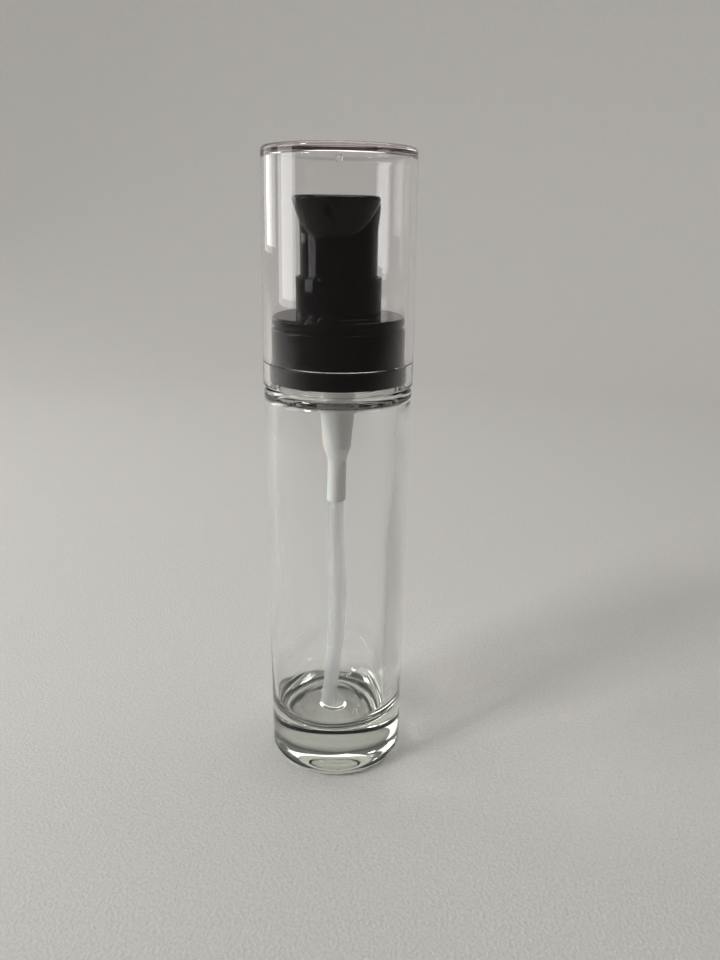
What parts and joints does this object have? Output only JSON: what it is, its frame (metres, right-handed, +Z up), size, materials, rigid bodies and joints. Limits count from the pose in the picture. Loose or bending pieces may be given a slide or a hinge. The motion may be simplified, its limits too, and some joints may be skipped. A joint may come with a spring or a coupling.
{
  "type": "foundation bottle",
  "caption": "Straight clear glass cosmetic bottle with a black push-down treatment pump, a curved dip tube and a clear lift-off overcap.",
  "frame": {"origin": "centre of the foot ring that the bottle stands on", "axes": "+Z up along the bottle's axis, -Y the way the spout points, +X to the spout's left as seen from behind the head"},
  "size_m": [0.0304, 0.0304, 0.1304],
  "materials": {
    "clear_glass": "clear flint glass with a faint green edge",
    "clear_plastic": "clear gloss styrene acrylonitrile, faint pink edge",
    "black_gloss": "high gloss black",
    "black_inner": "satin black",
    "foam": "matt foamed liner",
    "white_plastic": "satin white",
    "milky_plastic": "translucent natural polyethylene",
    "spring_steel": "drawn stainless wire",
    "ball_steel": "polished stainless"
  },
  "bodies": {
    "bottle": {"glass_bottle": "clear_glass"},
    "pump_unit": {"neck_gasket": "foam", "pump_housing": "white_plastic", "housing_cap": "white_plastic", "dip_tube": "milky_plastic", "return_spring": "spring_steel"},
    "closure": {"screw_closure": "black_inner", "collar_shell": "black_gloss", "guide_sleeve": "black_gloss"},
    "overcap": {"overcap": "clear_plastic"},
    "plunger": {"piston": "milky_plastic"},
    "head": {"actuator": "black_gloss", "stem": "white_plastic", "valve_rod": "white_plastic"},
    "inlet_ball": {"inlet_ball": "ball_steel"}
  },
  "joints": [
    {"name": "pump_lift", "type": "slide", "parent": "bottle", "child": "pump_unit", "axis": [0, 0, 1], "range_m": [0, 0.00476]},
    {"name": "closure_turn", "type": "hinge", "parent": "pump_unit", "child": "closure", "pos_m": [0, 0, 0.0874], "axis": [0, 0, 1], "range_deg": [0, 540]},
    {"name": "overcap_lift", "type": "slide", "parent": "closure", "child": "overcap", "axis": [0, 0, 1], "range_m": [0, 0.045]},
    {"name": "head_press", "type": "slide", "parent": "pump_unit", "child": "plunger", "axis": [0, 0, -1], "range_m": [0, 0.0055], "stiffness_N_per_m": 800, "springref_m": -0.004, "deforming": ["return_spring"]},
    {"name": "head_turn", "type": "hinge", "parent": "plunger", "child": "head", "pos_m": [0, 0, 0.112], "axis": [0, 0, 1], "continuous": true},
    {"name": "ball_lift", "type": "slide", "parent": "pump_unit", "child": "inlet_ball", "axis": [0, 0, 1], "range_m": [0, 0.0008]}
  ],
  "couplings": [
    {"joint": "closure_turn", "follows": "pump_lift", "rad_per_m": 1979}
  ]
}
